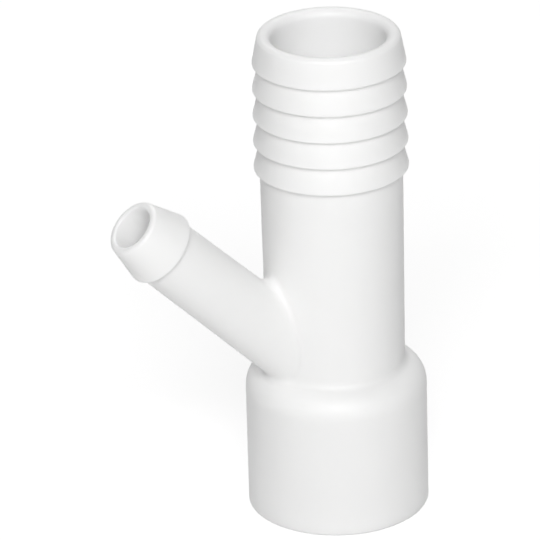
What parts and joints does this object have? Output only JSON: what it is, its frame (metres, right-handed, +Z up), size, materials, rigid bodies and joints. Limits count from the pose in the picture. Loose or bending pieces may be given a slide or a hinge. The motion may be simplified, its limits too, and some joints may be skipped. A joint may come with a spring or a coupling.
{
  "type": "tubing y connector",
  "caption": "One-piece moulded plastic Y connector: pipe socket at the foot, ribbed hose barb in line above it, and a smaller plain hose barb branching off at 45 degrees.",
  "frame": {"origin": "centre of the socket's mouth, in the plane of the foot it stands on", "axes": "+Z up along the run towards the ribbed barb; the branch leans towards -X; Y completes the right-handed frame"},
  "size_m": [0.0487, 0.0266, 0.0743],
  "materials": {
    "white_pvc": "smooth moulded, satin gloss"
  },
  "bodies": {
    "root": {"y_connector": "white_pvc"}
  },
  "joints": []
}
